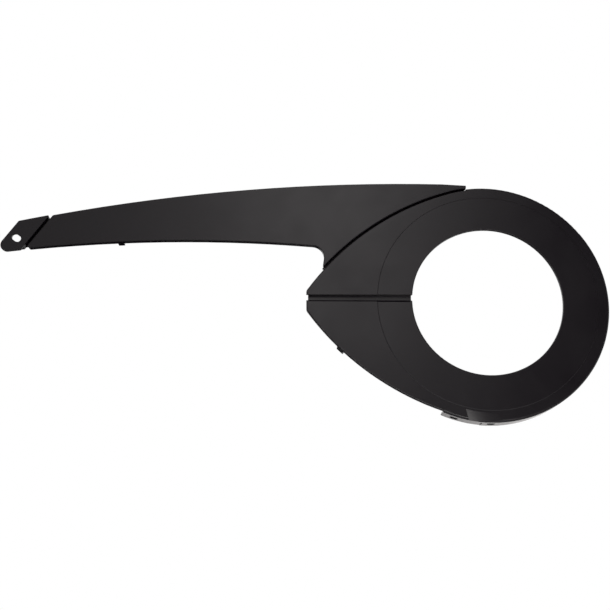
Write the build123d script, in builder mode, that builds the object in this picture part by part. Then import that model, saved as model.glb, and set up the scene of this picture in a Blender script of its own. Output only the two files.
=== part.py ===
from build123d import *
from math import acos, atan2, cos, degrees, hypot, radians, sin, sqrt, tan
import os

# Bicycle chain guard of three black mouldings that snap together, in millimetres.
# X runs forward along the bicycle, Y runs in from the outer face towards the frame, and Z runs up.
# The origin lies on the crank axis, in the outer face of the raised disc.

# Walls, fits and edges
wall = 2.2
fit = 0.25
lip = 5.0
edge_round = 1.0
margin = 1.0

# Ring: a drop-shaped plate round the crank opening, the same above and below
hole_radius = 63.2
hole_round = 0.5
outer_radius = 102.0
shoulder = 1.2
tip_reach = 151.7
tip_half_height = 8.6
tip_round = 4.0
edge_radius = 228.5
step_height = 0.5
step_chamfer = 0.4

# Rim round the front of the ring, and the skirt behind it, at angles above and below the forward axis
rim_width = 9.5
rim_round = 2.0
rim_slack = 0.3
skirt_depth = 18.5
skirt_top_angle = 112.0
skirt_end_angle = 113.7
skirt_end_shortfall = 2.0
slit_angle = 95.2
slit_width = 1.0
slit_start = 6.0
slit_length = 8.0
angle_margin = 1.0
window_angles = (90.7, 107.9)
window_length = 6.5
window_depth = 7.0
window_round = 2.0
window_centre = 9.5

# Ramp that twists down out of the rim's face above the windows, at angles below the forward axis
ramp_start_angle = 104.0
ramp_end_angle = 84.0
ramp_lean = 77.0
ramp_fall = 1.8
ramp_rise = 0.25
ramp_setback = 1.0
ramp_lift = 0.05

# Lap closure of the ring behind the crank axis
closure_low = 0.5
closure_high = 5.25
closure_depth = 4.1
closure_lap = 14.0
closure_inset = 1.5
closure_bevel = 1.3
closure_hook_height = 8.0
closure_hook_pitch = 42.0

# Arm over the upper chain run
arm_proud = 0.7
arm_round = 0.6
seam_clearance = 0.4
arm_rise = 3.2
arm_crest_x = -62.2
arm_top_radius = 1549.0
arm_depth = 52.8
arm_waist_x = -248.3
arm_under_radius = 1269.0
arm_tip_x = -13.6
arm_tip_taper = 21.0
arm_tip_drop = 1.2
arm_end_x = -383.5
arm_corner_round = 2.0
end_slant = 35.2
finger_setback = 9.7
finger_lean = 8.0
finger_straight = 8.4
finger_round = 0.8
roof_depth = 17.5
roof_left_x = -350.0
roof_setback = 5.5

# Flange on the ring that carries the arm, with a narrow strip that closes the rest of the seam
flange_width = 15.0
flange_right_x = -68.0
flange_left_x = -118.0
strip_overlap = 0.6
strip_tip_setback = 0.5
strip_foot_setback = 1.6

# Tail end with its fixing slot, and the tongue behind the arm
tail_gap = 2.4
tail_width = 17.9
tail_flare = 0.7
tail_round = 0.5
tail_corner_round = 1.5
tail_tip_round = 0.6
tail_foot_round = 1.0
tail_nose_round = 6.0
slot_width = 5.8
slot_length = 8.4
slot_edge_distance = 8.4
slot_rise = 1.6
tail_wall_inset = 1.9
neck_inset = 1.0
neck_length = 9.0
tongue_inset = 3.4
tongue_end_x = -300.0

# Snap hooks
hook_width = 8.0
hook_nose = 1.4
hook_nose_height = 2.4
seam_hook_offset = 6.4
arm_hook_x = -309.2
arm_hook_width = 5.1
roof_hook_x = -330.0
ring_hook_x = -124.0
ring_hook_width = 6.6
ring_hook_depth = 12.5

# Depths of the main faces, measured in from the disc
face_front = step_height
plate_rear = face_front + wall
closure_front = face_front + closure_depth
tongue_height = closure_high + closure_lap - closure_low + wall
arm_front = face_front - arm_proud
arm_rear = arm_front + wall
arm_lip_rear = arm_front + lip
tongue_front = arm_lip_rear + fit
tongue_rear = tongue_front + wall
roof_rear = arm_front + roof_depth
step_radius = outer_radius - rim_width

# The drop's edge lies inside the rim by the shoulder, and the arm stays clear of the rim
drop_radius = outer_radius - shoulder
seam_gap = shoulder + seam_clearance
rim_top_angle = degrees(acos(arm_tip_x / outer_radius))
skirt_inner = outer_radius - wall

# Centre of the long arc that runs tangent from the drop's circle to the tip
centre_distance = edge_radius - drop_radius
tip_distance = hypot(tip_reach, tip_half_height)
tip_bearing = degrees(atan2(tip_half_height, -tip_reach))
spread_top = centre_distance**2 + tip_distance**2 - edge_radius**2
spread = degrees(acos(spread_top / (2 * centre_distance * tip_distance)))
tangent_angle = tip_bearing + spread - 180
edge_x = -centre_distance * cos(radians(tangent_angle))
edge_z = -centre_distance * sin(radians(tangent_angle))

# Centres of the arm's long upper and lower arcs, and the slopes of its slanted end and of the finger
crest_z = outer_radius + arm_rise
waist_z = crest_z - arm_depth
top_centre_z = crest_z - arm_top_radius
under_centre_z = waist_z - arm_under_radius
finger_x = -(tip_reach - finger_setback)
end_slope = tan(radians(end_slant))
finger_slope = tan(radians(finger_lean))
sky = crest_z + lip


def finger_height(centre_x, centre_z, radius):
    """Height at which the finger's leaning line meets the upper side of a circle."""
    across = finger_x - centre_x
    square = 1 + finger_slope**2
    half = finger_slope * across - centre_z
    return (sqrt(half**2 - square * (across**2 + centre_z**2 - radius**2)) - half) / square


# Fillet that leaves the finger its straight length above the seam
finger_top = finger_height(arm_waist_x, under_centre_z, arm_under_radius)
finger_foot = finger_height(edge_x, edge_z, edge_radius + seam_gap)
finger_fillet = finger_top - finger_foot - finger_straight

# Ends of the strip that closes the seam, just inside the arm's tip and the finger
strip_right_x = arm_tip_x - strip_tip_setback
strip_left_x = finger_x + finger_foot * finger_slope + strip_foot_setback


def at_depth(depth):
    """Sketch plane seen from outside, with X to the right and Z up."""
    return Plane.XZ.offset(-depth)


def radial_plane(x, z, angle):
    """Plane through a point, with its first axis along an angle in the face and its second axis inwards."""
    a = radians(angle)
    return Plane(origin=(x, 0, z), x_dir=(cos(a), 0, sin(a)), z_dir=(-sin(a), 0, cos(a)))


def skirt_plane(angle, depth):
    """Plane that faces out of the skirt at an angle below the forward axis."""
    a = radians(-angle)
    radius = outer_radius - wall / 2
    centre = (radius * cos(a), depth, radius * sin(a))
    return Plane(origin=centre, x_dir=(-sin(a), 0, cos(a)), z_dir=(cos(a), 0, sin(a)))


def edge_angle(x, radius):
    """Angle about the upper edge's centre at which an arc of that radius passes x."""
    return degrees(acos((x - edge_x) / radius))


def drop_outline(grow):
    """Outline of the ring grown by a distance on every side."""
    long_edge = edge_radius + grow
    sweep = edge_angle(-tip_reach - grow, long_edge) - tangent_angle
    with BuildSketch() as outline:
        with BuildLine():
            upper = CenterArc((edge_x, edge_z), long_edge, tangent_angle, sweep)
            lower = CenterArc((edge_x, -edge_z), long_edge, -tangent_angle, -sweep)
            CenterArc((0, 0), drop_radius + grow, -tangent_angle, 2 * tangent_angle)
            Line(upper @ 1, lower @ 1)
        make_face()
        fillet(outline.vertices().group_by(Axis.X)[0], radius=tip_round)
    return outline.sketch


def blade_outline(left, right, inset_top, inset_under):
    """Strip between the arm's two long arcs, between two slanted lines at distances past the arm's end."""
    low_left = arm_end_x - left / cos(radians(end_slant)) - waist_z * end_slope
    low_right = arm_end_x - right / cos(radians(end_slant)) - waist_z * end_slope
    with BuildSketch() as outline:
        with BuildLine():
            Polyline(
                (low_left, 0),
                (low_right, 0),
                (low_right + sky * end_slope, sky),
                (low_left + sky * end_slope, sky),
                close=True,
            )
        make_face()
        with Locations((arm_crest_x, top_centre_z)):
            Circle(arm_top_radius - inset_top, mode=Mode.INTERSECT)
        with Locations((arm_waist_x, under_centre_z)):
            Circle(arm_under_radius + inset_under, mode=Mode.SUBTRACT)
    return outline.sketch


def under_outline(inset):
    """Space below the arm, left of the finger that runs down to the seam."""
    foot = finger_x + inset / cos(radians(finger_lean))
    reach = arm_under_radius
    with BuildSketch() as outline:
        with Locations((arm_waist_x, under_centre_z)):
            Circle(arm_under_radius + inset)
        with BuildLine():
            Polyline(
                (foot - reach * finger_slope, -reach),
                (foot + reach * finger_slope, reach),
                (foot - 2 * reach, reach),
                (foot - 2 * reach, -reach),
                close=True,
            )
        make_face(mode=Mode.INTERSECT)
        fillet(outline.vertices().sort_by(Axis.X)[-1], radius=finger_fillet + inset)
    return outline.sketch


def arm_outline(inset):
    """Outline of the arm, drawn in by a distance on every side."""
    low_left = arm_end_x + inset / cos(radians(end_slant)) - waist_z * end_slope
    right = arm_tip_x - inset
    taper_x = arm_tip_x - arm_tip_taper
    taper_z = top_centre_z + sqrt(arm_top_radius**2 - (taper_x - arm_crest_x) ** 2)
    with BuildSketch() as outline:
        with BuildLine():
            Polyline(
                (low_left, 0),
                (right, 0),
                (right, taper_z - arm_tip_drop - inset),
                (taper_x, taper_z - inset),
                (taper_x, sky),
                (low_left + sky * end_slope, sky),
                close=True,
            )
        make_face()
        with Locations((arm_crest_x, top_centre_z)):
            Circle(arm_top_radius - inset, mode=Mode.INTERSECT)
        add(under_outline(inset), mode=Mode.SUBTRACT)
        add(drop_outline(seam_gap + inset), mode=Mode.SUBTRACT)
        if inset == 0:
            fillet(outline.vertices().sort_by(Axis.Y)[0], radius=finger_round)
            fillet(outline.vertices().sort_by(Axis.X)[:2], radius=arm_corner_round)
    return outline.sketch


def seam_strip(inner, outer, right_x, left_x):
    """Strip along the seam between two distances outside the drop's upper edge."""
    start = edge_angle(right_x, edge_radius)
    sweep = edge_angle(left_x, edge_radius) - start
    with BuildSketch() as outline:
        with BuildLine():
            far = CenterArc((edge_x, edge_z), edge_radius + outer, start, sweep)
            near = CenterArc((edge_x, edge_z), edge_radius + inner, start, sweep)
            Line(far @ 0, near @ 0)
            Line(far @ 1, near @ 1)
        make_face()
    return outline.sketch


def sector(profile, from_angle, to_angle):
    """Profile of radius and depth turned about the crank axis, from an angle above to an angle below it."""
    placed = radial_plane(0, 0, from_angle) * profile
    return revolve(placed, axis=Axis.Y, revolution_arc=from_angle + to_angle, mode=Mode.PRIVATE)


def wedge(from_angle, to_angle):
    """Sector of the face between two angles from the forward axis."""
    reach = 2 * outer_radius
    with BuildSketch() as outline:
        with BuildLine():
            start = PolarLine((0, 0), reach, from_angle)
            end = PolarLine((0, 0), reach, to_angle)
            Line(start @ 1, end @ 1)
        make_face()
    return outline.sketch


def band(inner, outer, front, rear):
    """Plain section between two radii and two depths."""
    with BuildSketch() as profile:
        with Locations((inner, front)):
            Rectangle(outer - inner, rear - front, align=(Align.MIN, Align.MIN))
    return profile.sketch


def rim_section():
    """Section of the flat rim and of the skirt that it turns into."""
    with BuildSketch() as profile:
        with BuildLine():
            Polyline(
                (step_radius - wall / 2, face_front),
                (outer_radius, face_front),
                (outer_radius, skirt_depth),
                (skirt_inner, skirt_depth),
                (skirt_inner, plate_rear + rim_slack),
                (step_radius - wall / 2, plate_rear - wall / 4),
                close=True,
            )
        make_face()
        fillet(profile.vertices().group_by(Axis.X)[-1].sort_by(Axis.Y)[0], radius=rim_round)
    return profile.sketch


def hook(plane, width, root, catch):
    """Snap hook that stands in from a root depth and turns its nose behind a catch depth."""
    with BuildSketch(plane) as profile:
        with BuildLine():
            Polyline(
                (0, root),
                (wall, root),
                (wall, catch + hook_nose_height),
                (0, catch + hook_nose_height),
                (-hook_nose, catch + hook_nose_height / 2),
                (-hook_nose, catch),
                (0, catch),
                close=True,
            )
        make_face()
    extrude(profile.sketch, amount=width / 2, both=True)


def hook_window(plane, width, front, rear):
    """Window that lets a snap hook and its nose through a wall."""
    with BuildSketch(plane) as profile:
        with Locations((-fit, front - margin)):
            Rectangle(wall + hook_nose + 2 * fit, rear - front + 2 * margin, align=(Align.MIN, Align.MIN))
    extrude(profile.sketch, amount=width / 2 + fit, both=True, mode=Mode.SUBTRACT)


def seam_hook_planes():
    """Places of the three hooks along the seam, as planes about the upper edge's centre."""
    right = edge_angle(flange_right_x, edge_radius)
    left = edge_angle(flange_left_x, edge_radius)
    radius = edge_radius + seam_gap + seam_hook_offset
    planes = []
    for share in (1 / 6, 3 / 6, 5 / 6):
        angle = right + (left - right) * share
        a = radians(angle)
        planes.append(radial_plane(edge_x + radius * cos(a), edge_z + radius * sin(a), angle))
    return planes


def closure_hook_planes():
    """Places of the two hooks that hold the lap closure shut."""
    middle = -(hole_radius + tip_reach) / 2
    height = closure_high + closure_hook_height - hook_nose
    return [radial_plane(middle + side * closure_hook_pitch / 2, height, 90) for side in (-1, 1)]


# Ring guard
with BuildPart() as ring_guard:
    # Drop-shaped plate, open where the rim comes
    with BuildSketch(at_depth(face_front)):
        add(drop_outline(0))
    extrude(amount=-wall)
    fillet(ring_guard.faces().sort_by(Axis.Y)[0].outer_wire().edges(), radius=edge_round)
    rim_space = band(step_radius - wall, outer_radius + margin, -margin, plate_rear + margin)
    add(sector(rim_space, rim_top_angle, skirt_end_angle), mode=Mode.SUBTRACT)

    # Raised disc with the crank opening
    with BuildSketch(at_depth(0)):
        Circle(step_radius)
    extrude(amount=-plate_rear)
    chamfer(ring_guard.faces().sort_by(Axis.Y)[0].outer_wire().edges(), length=step_chamfer)
    with BuildSketch(at_depth(0)):
        Circle(hole_radius)
    extrude(amount=-plate_rear, mode=Mode.SUBTRACT)
    fillet(ring_guard.faces().sort_by(Axis.Y)[0].inner_wires()[0].edges(), radius=hole_round)

    # Rim and the skirt behind it, which runs on behind the arm and is shorter past the slit
    add(sector(rim_section(), rim_top_angle, skirt_end_angle))
    with BuildSketch(at_depth(plate_rear)):
        add(drop_outline(0))
        add(drop_outline(-wall), mode=Mode.SUBTRACT)
        add(wedge(rim_top_angle, skirt_top_angle), mode=Mode.INTERSECT)
    extrude(amount=-(skirt_depth - plate_rear))
    short_depth = skirt_depth - skirt_end_shortfall
    past_slit = band(skirt_inner - margin, outer_radius + margin, short_depth, skirt_depth + margin)
    add(sector(past_slit, -slit_angle, skirt_end_angle + angle_margin), mode=Mode.SUBTRACT)

    # Windows and slit in the skirt
    for angle in window_angles:
        with BuildSketch(skirt_plane(angle, window_centre)):
            RectangleRounded(window_length, window_depth, window_round)
        extrude(amount=wall, both=True, mode=Mode.SUBTRACT)
    with BuildSketch(skirt_plane(slit_angle, slit_start + slit_length / 2)):
        Rectangle(slit_width, slit_length)
    extrude(amount=wall, both=True, mode=Mode.SUBTRACT)

    # Ramp, as a cutter that starts along the step and twists up out of the face towards its end
    ramp_reach = rim_width + 2 * margin
    for share in (0, 1 / 3, 2 / 3, 1):
        a = radians(-ramp_start_angle + (ramp_start_angle - ramp_end_angle) * share)
        lean = -ramp_lean + (ramp_lean - ramp_end_angle) * share
        depth = face_front + ramp_fall - (ramp_fall + ramp_rise) * share
        radius = step_radius + ramp_setback
        with BuildSketch(radial_plane(radius * cos(a), radius * sin(a), lean)):
            with BuildLine():
                Polyline(
                    (0, face_front - ramp_lift),
                    (ramp_reach, depth),
                    (ramp_reach, face_front - margin),
                    close=True,
                )
            make_face()
    loft(mode=Mode.SUBTRACT)

    # Lap closure: the ring is cut through, and the lower end carries a tongue behind the upper end
    with BuildSketch(at_depth(-margin)):
        with Locations((-hole_radius + margin, closure_low)):
            Rectangle(tip_reach, closure_high - closure_low, align=(Align.MAX, Align.MIN))
    extrude(amount=-plate_rear - 2 * margin, mode=Mode.SUBTRACT)
    with BuildSketch(Plane.YZ.offset(-tip_reach - margin)):
        with BuildLine():
            Polyline(
                (face_front + closure_bevel, closure_low),
                (-margin, closure_low - face_front - closure_bevel - margin),
                (-margin, closure_low),
                close=True,
            )
        make_face()
    extrude(amount=tip_reach - hole_radius + 2 * margin, mode=Mode.SUBTRACT)
    for low, height, front, rear, reach in (
        (closure_low - wall, wall, plate_rear - wall / 4, closure_front + wall, tip_distance),
        (closure_high, wall, plate_rear - wall / 4, closure_front - fit, tip_distance),
        (closure_low - wall, tongue_height, closure_front + step_height, closure_front + wall, tip_distance),
        (closure_low - wall, tongue_height, closure_front, closure_front + wall, step_radius),
    ):
        with BuildSketch(at_depth(front)):
            add(drop_outline(-closure_inset))
            Circle(reach, mode=Mode.INTERSECT)
            with Locations((-hole_radius - hole_round, low)):
                Rectangle(tip_reach, height, align=(Align.MAX, Align.MIN), mode=Mode.INTERSECT)
        extrude(amount=-(rear - front))
    for plane in closure_hook_planes():
        hook_window(plane, hook_width, closure_front, closure_front + wall)
        hook(plane, hook_width, plate_rear, closure_front + wall + fit)

    # Wall behind the seam, with the flange that carries the arm and the strip that closes the seam
    for inner, outer, front, right_x, left_x in (
        (-fit - wall, -fit, plate_rear - wall / 4, strip_right_x, strip_left_x),
        (-fit - wall, seam_gap + strip_overlap, tongue_front, strip_right_x, strip_left_x),
        (-fit - wall, flange_width, tongue_front, flange_right_x, flange_left_x),
    ):
        with BuildSketch(at_depth(front)):
            add(seam_strip(inner, outer, right_x, left_x))
        extrude(amount=-(tongue_rear - front))
    for plane in seam_hook_planes():
        hook_window(plane, hook_width, tongue_front, tongue_rear)

    # Hook behind the lower left edge
    hook_angle = edge_angle(ring_hook_x, edge_radius)
    a = radians(-hook_angle)
    hook_radius = edge_radius - fit - wall
    hook_x = edge_x + hook_radius * cos(a)
    hook_z = -edge_z + hook_radius * sin(a)
    hook(
        radial_plane(hook_x, hook_z, -hook_angle),
        ring_hook_width,
        plate_rear,
        ring_hook_depth - hook_nose_height,
    )
ring_guard.part.label = "ring_guard"


# Arm
with BuildPart() as arm:
    # Blade with a lip all round
    with BuildSketch(at_depth(arm_front)):
        add(arm_outline(0))
    extrude(amount=-lip)
    with BuildSketch(at_depth(arm_rear)):
        add(arm_outline(wall))
    extrude(amount=-lip, mode=Mode.SUBTRACT)
    fillet(arm.faces().sort_by(Axis.Y)[0].outer_wire().edges(), radius=arm_round)

    # Roof over the chain
    with BuildSketch(at_depth(arm_rear)):
        add(arm_outline(0))
        add(arm_outline(wall), mode=Mode.SUBTRACT)
        with Locations((roof_left_x, waist_z + lip)):
            Rectangle(
                arm_tip_x - roof_setback - roof_left_x,
                sky,
                align=(Align.MIN, Align.MIN),
                mode=Mode.INTERSECT,
            )
        add(drop_outline(seam_gap + wall), mode=Mode.SUBTRACT)
    extrude(amount=-(roof_rear - arm_rear))

    # Hooks behind the ring's flange, and behind the tail's tongue at the lower lip and the roof
    for plane in seam_hook_planes():
        hook(plane, hook_width, arm_rear, tongue_rear + fit)
    under_angle = degrees(atan2(-(waist_z - under_centre_z), arm_waist_x - arm_hook_x))
    a = radians(under_angle)
    under_radius = arm_under_radius + wall
    hook_x = arm_waist_x - under_radius * cos(a)
    hook_z = under_centre_z - under_radius * sin(a)
    hook(
        radial_plane(hook_x, hook_z, under_angle),
        arm_hook_width,
        arm_rear,
        tongue_rear + fit,
    )
    roof_angle = degrees(atan2(crest_z - top_centre_z, roof_hook_x - arm_crest_x))
    a = radians(roof_angle)
    roof_radius = arm_top_radius - wall
    hook_x = arm_crest_x + roof_radius * cos(a)
    hook_z = top_centre_z + roof_radius * sin(a)
    hook(
        radial_plane(hook_x, hook_z, roof_angle),
        arm_hook_width,
        arm_rear,
        tongue_rear + fit,
    )
arm.part.label = "arm"


# Tail end
with BuildPart() as tail_end:
    # Plate with the fixing slot
    with BuildSketch(at_depth(arm_front)) as plate:
        add(blade_outline(tail_gap + tail_width, tail_gap, -tail_flare, -tail_flare))
        fillet(plate.vertices().sort_by(Axis.Y)[1], radius=tail_foot_round)
        fillet(plate.vertices().sort_by(Axis.Y)[-2], radius=tail_corner_round)
        fillet(plate.vertices().sort_by(Axis.Y)[-1], radius=tail_tip_round)
        fillet(plate.vertices().sort_by(Axis.X)[0], radius=tail_nose_round)
    extrude(amount=-wall)
    fillet(tail_end.faces().sort_by(Axis.Y)[0].outer_wire().edges(), radius=tail_round)
    slot_offset = tail_gap + tail_width - slot_edge_distance
    slot_x = arm_end_x - slot_offset / cos(radians(end_slant)) + slot_rise * end_slope
    with BuildSketch(at_depth(arm_front)):
        with Locations((slot_x, waist_z + slot_rise)):
            SlotOverall(slot_length, slot_width, rotation=-end_slant)
    extrude(amount=-wall, mode=Mode.SUBTRACT)

    # Step at the seam, neck and tongue behind the arm
    with BuildSketch(at_depth(arm_front + tail_round)):
        add(blade_outline(tail_gap + wall, tail_gap + fit, 0, tail_wall_inset))
    extrude(amount=-(tongue_rear - arm_front - tail_round))
    with BuildSketch(at_depth(tongue_front)):
        add(blade_outline(tail_gap + wall, -neck_length, neck_inset, tongue_inset))
    extrude(amount=-wall)
    with BuildSketch(at_depth(tongue_front)):
        add(blade_outline(tail_gap + wall, arm_end_x - tongue_end_x, wall + fit, tongue_inset))
        with Locations((tongue_end_x, waist_z)):
            Rectangle(-arm_end_x, arm_depth * 2, align=(Align.MAX, Align.CENTER), mode=Mode.INTERSECT)
    extrude(amount=-wall)
tail_end.part.label = "tail_end"


os.makedirs("parts", exist_ok=True)
export_step(ring_guard.part, "parts/ring_guard.step")
export_step(arm.part, "parts/arm.step")
export_step(tail_end.part, "parts/tail_end.step")
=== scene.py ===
import math

import bpy
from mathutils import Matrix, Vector


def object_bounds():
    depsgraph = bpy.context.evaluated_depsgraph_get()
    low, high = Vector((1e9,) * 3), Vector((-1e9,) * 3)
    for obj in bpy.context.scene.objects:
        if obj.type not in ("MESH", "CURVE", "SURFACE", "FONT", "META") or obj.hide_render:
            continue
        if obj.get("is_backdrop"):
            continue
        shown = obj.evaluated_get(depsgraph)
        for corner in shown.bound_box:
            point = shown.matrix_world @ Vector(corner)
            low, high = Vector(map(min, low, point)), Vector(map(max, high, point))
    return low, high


bl_info = {
    "name": "Bicycle Chain Guard",
    "version": (1, 0, 0),
    "blender": (4, 5, 0),
    "location": "View3D > Sidebar > Chain Guard",
    "description": "Finishes a moulded bicycle chain guard and sets it in a plain white studio",
    "category": "Object",
}

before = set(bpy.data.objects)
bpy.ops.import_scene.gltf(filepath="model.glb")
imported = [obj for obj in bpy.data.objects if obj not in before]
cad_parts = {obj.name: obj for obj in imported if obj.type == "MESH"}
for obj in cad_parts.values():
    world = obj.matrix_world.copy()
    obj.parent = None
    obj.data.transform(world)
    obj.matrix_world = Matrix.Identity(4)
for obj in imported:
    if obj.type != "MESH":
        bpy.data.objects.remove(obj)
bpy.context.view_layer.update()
MM = 0.001

# Places of a Mix node's colour sockets, whose names its number and vector sockets share
MIX_FACTOR = 0
MIX_FIRST = 6
MIX_SECOND = 7
MIX_RESULT = 2


class GuardFinish(bpy.types.PropertyGroup):
    """Black satin plastic of the three mouldings."""

    plastic_hex: bpy.props.StringProperty(
        name="Plastic colour",
        description="sRGB colour of the pigmented plastic, as a hex value",
        default="#0b040d",
    )
    bloom_hex: bpy.props.StringProperty(
        name="Bloom colour",
        description="sRGB colour of the faint haze that the mould's texture leaves",
        default="#0e070f",
    )
    gloss_roughness: bpy.props.FloatProperty(
        name="Roughness",
        description="Roughness of the satin skin",
        default=0.34,
        min=0.0,
        max=1.0,
        subtype="FACTOR",
    )
    gloss_swing: bpy.props.FloatProperty(
        name="Gloss swing",
        description="How far the roughness rises and falls from one flow mark to the next",
        default=0.03,
        min=0.0,
        max=0.3,
        subtype="FACTOR",
    )
    grain_width: bpy.props.FloatProperty(
        name="Grain width",
        description="Width of one grain of the mould's spark-eroded texture",
        default=0.9 * MM,
        min=0.05 * MM,
        unit="LENGTH",
    )
    grain_depth: bpy.props.FloatProperty(
        name="Grain depth",
        description="Depth of the mould's texture",
        default=0.02 * MM,
        min=0.0,
        unit="LENGTH",
    )
    flow_width: bpy.props.FloatProperty(
        name="Flow mark width",
        description="Width of the soft bands in which the plastic's gloss varies",
        default=45 * MM,
        min=1 * MM,
        unit="LENGTH",
    )


class StudioSettings(bpy.types.PropertyGroup):
    """Camera, light and floor."""

    azimuth: bpy.props.FloatProperty(
        name="Azimuth",
        description="Turn of the camera round the guard, from straight outside it",
        default=math.radians(-0.74),
        subtype="ANGLE",
    )
    elevation: bpy.props.FloatProperty(
        name="Elevation",
        description="Height of the camera above the horizon, below it where negative",
        default=math.radians(-15.98),
        subtype="ANGLE",
    )
    distance: bpy.props.FloatProperty(
        name="Distance",
        description="Distance from the camera to the point it looks at",
        default=790.5 * MM,
        unit="LENGTH",
    )
    target: bpy.props.FloatVectorProperty(
        name="Target",
        description="Point that the camera looks at",
        default=(-152.8 * MM, 0.0, -4.2 * MM),
        subtype="XYZ",
    )
    lens: bpy.props.FloatProperty(
        name="Lens",
        description="Focal length in millimetres on a sensor 36 mm wide",
        default=56.07,
        unit="CAMERA",
    )
    sky_level: bpy.props.FloatProperty(
        name="Sky level",
        description="Brightness of the white surroundings as a light, where 1 is white",
        default=0.9,
        min=0.0,
    )
    floor_drop: bpy.props.FloatProperty(
        name="Floor drop",
        description="How far the floor lies below the guard's lowest point",
        default=0.5,
        unit="LENGTH",
    )
    floor_size: bpy.props.FloatProperty(
        name="Floor size",
        description="Side of the square floor",
        default=12.0,
        unit="LENGTH",
    )
    floor_hex: bpy.props.StringProperty(
        name="Floor colour",
        description="sRGB colour of the floor's paint, as a hex value",
        default="#e9e9e8",
    )
    hood_hex: bpy.props.StringProperty(
        name="Hood colour",
        description="sRGB colour of the hood's cloth, as a hex value",
        default="#0c0c0c",
    )


def linear(hex_value):
    """Linear RGBA of an sRGB hex value."""
    digits = hex_value.lstrip("#")
    channels = [int(digits[i : i + 2], 16) / 255 for i in (0, 2, 4)]
    return [c / 12.92 if c <= 0.04045 else ((c + 0.055) / 1.055) ** 2.4 for c in channels] + [1.0]


def add_node(tree, kind, settings=None, links=None):
    """Adds a node with its settings and links.

    A setting is a socket, by name or place, or else one of the node's own properties. A link goes from
    another node's output to a socket, by name or place.
    """
    node = tree.nodes.new(kind)
    for key, value in (settings or {}).items():
        if isinstance(key, int) or key in node.inputs:
            node.inputs[key].default_value = value
        else:
            setattr(node, key, value)
    for key, source in (links or {}).items():
        tree.links.new(source, node.inputs[key])
    return node


def new_material(name):
    """New material with an empty node tree."""
    material = bpy.data.materials.new(name)
    material.use_nodes = True
    material.node_tree.nodes.clear()
    return material, material.node_tree


def satin_black_abs(finish):
    """Injection-moulded black ABS from a spark-eroded mould.

    The skin is satin: it blurs the studio into soft gradients, with a fine even grain and slow bands of
    gloss. The real grain is about 0.1 mm wide and is drawn coarser here, so that it shows.
    """
    name = "abs_black_satin_moulded"
    if name in bpy.data.materials:
        return bpy.data.materials[name]
    material, tree = new_material(name)
    place = add_node(tree, "ShaderNodeTexCoord")
    grain = add_node(
        tree,
        "ShaderNodeTexNoise",
        {"Scale": 1.0 / finish.grain_width, "Detail": 2.0, "Roughness": 0.6},
        {"Vector": place.outputs["Object"]},
    )
    flow = add_node(
        tree,
        "ShaderNodeTexNoise",
        {"Scale": 1.0 / finish.flow_width, "Detail": 3.0, "Roughness": 0.55, "Distortion": 0.4},
        {"Vector": place.outputs["Object"]},
    )
    haze = add_node(
        tree,
        "ShaderNodeMix",
        {
            "data_type": "RGBA",
            MIX_FIRST: linear(finish.plastic_hex),
            MIX_SECOND: linear(finish.bloom_hex),
        },
        {MIX_FACTOR: flow.outputs["Fac"]},
    )
    # Most of the flow noise lies between 0.3 and 0.7
    gloss = add_node(
        tree,
        "ShaderNodeMapRange",
        {
            "From Min": 0.3,
            "From Max": 0.7,
            "To Min": finish.gloss_roughness - finish.gloss_swing,
            "To Max": finish.gloss_roughness + finish.gloss_swing,
        },
        {"Value": flow.outputs["Fac"]},
    )
    relief = add_node(
        tree,
        "ShaderNodeBump",
        {"Strength": 0.35, "Distance": finish.grain_depth},
        {"Height": grain.outputs["Fac"]},
    )
    # An IOR of 1.53 is typical of ABS
    skin = add_node(
        tree,
        "ShaderNodeBsdfPrincipled",
        {"IOR": 1.53},
        {
            "Base Color": haze.outputs[MIX_RESULT],
            "Roughness": gloss.outputs["Result"],
            "Normal": relief.outputs["Normal"],
        },
    )
    add_node(tree, "ShaderNodeOutputMaterial", links={"Surface": skin.outputs["BSDF"]})
    return material


def matt_surface(name, hex_value):
    """Even matt surface, such as paint or cloth, that shows soft shade and no reflections."""
    material, tree = new_material(name)
    surface = add_node(tree, "ShaderNodeBsdfDiffuse", {"Color": linear(hex_value)})
    add_node(tree, "ShaderNodeOutputMaterial", links={"Surface": surface.outputs["BSDF"]})
    return material


def dress(node_name, material):
    """Gives a moulding one finish all over."""
    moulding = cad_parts[node_name]
    moulding.data.materials.clear()
    moulding.data.materials.append(material)


class CHAINGUARD_OT_ring(bpy.types.Operator):
    """Finishes the drop-shaped ring guard"""

    bl_idname = "chainguard.ring"
    bl_label = "Finish ring guard"

    def execute(self, context):
        dress("ring_guard", satin_black_abs(context.scene.guard_finish))
        return {"FINISHED"}


class CHAINGUARD_OT_arm(bpy.types.Operator):
    """Finishes the arm over the upper chain run"""

    bl_idname = "chainguard.arm"
    bl_label = "Finish arm"

    def execute(self, context):
        dress("arm", satin_black_abs(context.scene.guard_finish))
        return {"FINISHED"}


class CHAINGUARD_OT_tail(bpy.types.Operator):
    """Finishes the slotted tail end"""

    bl_idname = "chainguard.tail"
    bl_label = "Finish tail end"

    def execute(self, context):
        dress("tail_end", satin_black_abs(context.scene.guard_finish))
        return {"FINISHED"}


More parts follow.
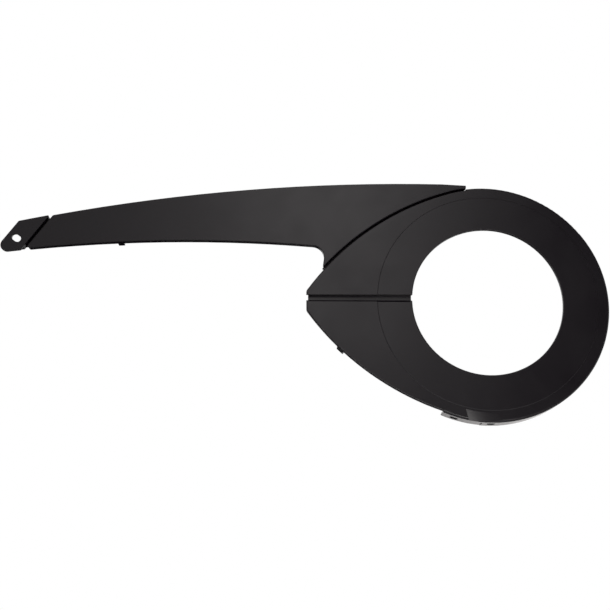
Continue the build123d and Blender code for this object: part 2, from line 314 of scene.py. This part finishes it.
def pale_floor(low, studio):
    """Wide painted floor, which keeps the guard's shadow."""
    middle = (-0.15, 0.0, low)
    bpy.ops.mesh.primitive_plane_add(size=studio.floor_size, location=middle)
    floor = bpy.context.object
    floor.name = "studio_floor"
    floor.data.materials.append(matt_surface("floor_pale_matt_paint", studio.floor_hex))
    floor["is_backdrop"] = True


def white_world(scene, studio):
    """White surroundings: pure white where they are seen or reflected, and a little dimmer as a light."""
    world = bpy.data.worlds.new("white_studio")
    scene.world = world
    world.use_nodes = True
    tree = world.node_tree
    tree.nodes.clear()
    ray = add_node(tree, "ShaderNodeLightPath")
    seen = add_node(
        tree,
        "ShaderNodeMath",
        {"operation": "MAXIMUM"},
        {0: ray.outputs["Is Camera Ray"], 1: ray.outputs["Is Transmission Ray"]},
    )
    shown = add_node(
        tree,
        "ShaderNodeMath",
        {"operation": "MAXIMUM"},
        {0: seen.outputs["Value"], 1: ray.outputs["Is Glossy Ray"]},
    )
    level = add_node(
        tree,
        "ShaderNodeMapRange",
        {"To Min": studio.sky_level, "To Max": 1.0},
        {"Value": shown.outputs["Value"]},
    )
    sky = add_node(
        tree,
        "ShaderNodeBackground",
        {"Color": linear("#ffffff")},
        {"Strength": level.outputs["Result"]},
    )
    add_node(tree, "ShaderNodeOutputWorld", links={"Surface": sky.outputs["Background"]})


def dark_hood(low, studio):
    """Box of dark cloth round the guard, which only reflections show.

    The black plastic then reflects a dark room with its soft lights. The box is open at its front corners,
    in two strips of its floor before the guard, and at its back past the flanks and above a wall, so that the
    guard's other sides reflect the white studio too. The wall is higher on the left, where it darkens the
    arm's underside.
    """
    # All in metres: the box, then the edges of its openings across (X), in depth (Y) and in height (Z)
    half_size = (4.0, 2.5, 1.8)
    middle_depth = -0.5
    floor_clearance = 0.01
    left_wall_edge = -0.3
    flank_edge = 1.1
    corner_edge = -1.2
    back_start = 0.0
    far_strip = (-1.6, -0.9)
    near_strip = (-0.35, back_start)
    wall_top = -0.25
    left_wall_top = 0.2
    cuts = (
        (Vector((1.0, 0.0, 0.0)), (left_wall_edge, -flank_edge, flank_edge)),
        (Vector((0.0, 1.0, 0.0)), (corner_edge, *far_strip, *near_strip)),
        (Vector((0.0, 0.0, 1.0)), (wall_top, left_wall_top)),
    )

    bpy.ops.mesh.primitive_cube_add(size=2.0)
    hood = bpy.context.object
    hood.name = "studio_hood"
    hood.scale = half_size
    hood.location = (0.0, middle_depth, low + half_size[2] + floor_clearance)
    bpy.ops.object.transform_apply(location=True, rotation=False, scale=True)
    bpy.ops.object.mode_set(mode="EDIT")
    bpy.ops.mesh.select_mode(type="FACE")
    for normal, places in cuts:
        for place in places:
            bpy.ops.mesh.select_all(action="SELECT")
            bpy.ops.mesh.bisect(plane_co=normal * place, plane_no=normal)
    bpy.ops.mesh.select_all(action="DESELECT")
    bpy.ops.object.mode_set(mode="OBJECT")

    facing = 0.5
    for face in hood.data.polygons:
        across, depth, height = face.center
        is_side = abs(face.normal.x) > facing
        is_floor = face.normal.z < -facing
        at_back = depth > back_start and not is_side
        top = left_wall_top if across < left_wall_edge else wall_top
        in_corner = is_side and depth < corner_edge
        over_wall = at_back and height > top
        past_flank = at_back and abs(across) > flank_edge
        in_strip = is_floor and any(start < depth < end for start, end in (far_strip, near_strip))
        face.select = in_corner or over_wall or past_flank or in_strip
    bpy.ops.object.mode_set(mode="EDIT")
    bpy.ops.mesh.delete(type="FACE")
    bpy.ops.object.mode_set(mode="OBJECT")

    hood.data.materials.append(matt_surface("hood_black_cloth", studio.hood_hex))
    hood.visible_camera = False
    hood.visible_diffuse = False
    hood.visible_shadow = False
    hood.visible_transmission = False
    hood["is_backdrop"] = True


def softbox(name, place, aim, size, power, spread=180):
    """Rectangular light of a width and height in metres, a power in watts and a spread in degrees."""
    warm_white = (1.0, 0.97, 0.96)
    bpy.ops.object.light_add(type="AREA", location=place)
    lamp = bpy.context.object
    lamp.name = name
    lamp.data.shape = "RECTANGLE"
    lamp.data.size = size[0]
    lamp.data.size_y = size[1]
    lamp.data.energy = power
    lamp.data.spread = math.radians(spread)
    lamp.data.color = warm_white
    lamp.visible_camera = False
    lamp.rotation_euler = (Vector(aim) - Vector(place)).to_track_quat("-Z", "Y").to_euler()


def soft_lights():
    """Two lights above for the gradient over the front, and two small ones for the bottom of the rim."""
    front = (-0.13, 0.0, 0.03)
    softbox("key_softbox", place=(-0.074, -1.4, 0.912), aim=front, size=(0.495, 1.425), power=4.3)
    softbox("fill_softbox", place=(-0.831, -1.4, 0.582), aim=front, size=(1.088, 0.639), power=1.0)
    # The ramp on the rim, with a narrow spread that keeps the light off the floor
    softbox(
        "low_front_softbox",
        place=(0.06, -0.85, -0.38),
        aim=(-0.01, 0.0, -0.1),
        size=(0.25, 0.16),
        power=0.17,
        spread=60,
    )
    # The underside of the skirt
    softbox(
        "low_back_softbox",
        place=(0.1, 0.12, -0.115),
        aim=(0.1, 0.0, -0.112),
        size=(0.3, 0.1),
        power=0.13,
    )


def photo_camera(scene, studio):
    """Camera at its turn, rise and distance from the point that it looks at."""
    turn = studio.azimuth
    rise = studio.elevation
    out = Vector((math.sin(turn) * math.cos(rise), -math.cos(turn) * math.cos(rise), math.sin(rise)))
    bpy.ops.object.camera_add(location=Vector(studio.target) + out * studio.distance)
    camera = bpy.context.object
    camera.name = "photo_camera"
    camera.rotation_euler = (-out).to_track_quat("-Z", "Y").to_euler()
    camera.data.sensor_width = 36.0
    camera.data.lens = studio.lens
    camera.data.clip_start = 0.01
    scene.camera = camera


class CHAINGUARD_OT_stage(bpy.types.Operator):
    """Sets up the floor, the white surroundings, the soft light and the camera"""

    bl_idname = "chainguard.stage"
    bl_label = "Set up studio"

    def execute(self, context):
        scene = context.scene
        studio = scene.guard_studio
        scene.view_settings.view_transform = "Standard"
        bpy.ops.object.select_all(action="DESELECT")
        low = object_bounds()[0][2] - studio.floor_drop
        pale_floor(low, studio)
        white_world(scene, studio)
        dark_hood(low, studio)
        soft_lights()
        photo_camera(scene, studio)
        return {"FINISHED"}


class CHAINGUARD_PT_panel(bpy.types.Panel):
    """Lists the guard's pieces and the studio"""

    bl_label = "Chain Guard"
    bl_idname = "CHAINGUARD_PT_panel"
    bl_space_type = "VIEW_3D"
    bl_region_type = "UI"
    bl_category = "Chain Guard"

    def draw(self, context):
        layout = self.layout
        for settings in (context.scene.guard_finish, context.scene.guard_studio):
            box = layout.box()
            for key in settings.__annotations__:
                box.prop(settings, key)
        for operator in OPERATORS:
            layout.operator(operator.bl_idname)


OPERATORS = (CHAINGUARD_OT_ring, CHAINGUARD_OT_arm, CHAINGUARD_OT_tail, CHAINGUARD_OT_stage)
CLASSES = (GuardFinish, StudioSettings, *OPERATORS, CHAINGUARD_PT_panel)


def register():
    for cls in CLASSES:
        bpy.utils.register_class(cls)
    bpy.types.Scene.guard_finish = bpy.props.PointerProperty(type=GuardFinish)
    bpy.types.Scene.guard_studio = bpy.props.PointerProperty(type=StudioSettings)


def unregister():
    del bpy.types.Scene.guard_studio
    del bpy.types.Scene.guard_finish
    for cls in reversed(CLASSES):
        bpy.utils.unregister_class(cls)


def main():
    register()
    bpy.ops.chainguard.ring()
    bpy.ops.chainguard.arm()
    bpy.ops.chainguard.tail()
    bpy.ops.chainguard.stage()


if __name__ == "__main__":
    main()
